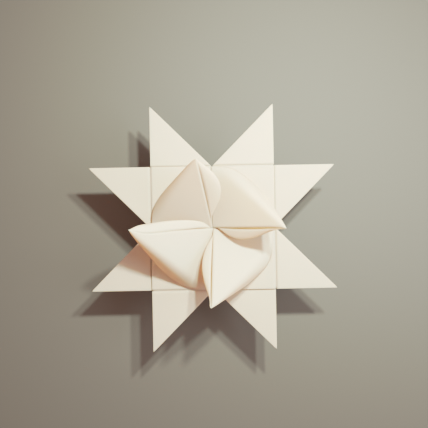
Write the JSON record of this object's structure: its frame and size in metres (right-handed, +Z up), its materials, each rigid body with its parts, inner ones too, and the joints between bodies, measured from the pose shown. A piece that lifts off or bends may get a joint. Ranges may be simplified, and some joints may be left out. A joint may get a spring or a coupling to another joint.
{
  "type": "origami star",
  "caption": "White paper star woven from folded strips, with flat points round a square and open cones on both faces.",
  "frame": {"origin": "on the surface that the star stands on, under the centre of the woven square", "axes": "+Z up, out of the star's front face; +X and +Y along the woven square's sides"},
  "size_m": [0.0998, 0.0998, 0.0434],
  "materials": {
    "white_paper": "matte"
  },
  "bodies": {
    "root": {"strip_right_column": "white_paper", "strip_top_row": "white_paper", "strip_left_column": "white_paper", "strip_bottom_row": "white_paper"}
  },
  "joints": []
}
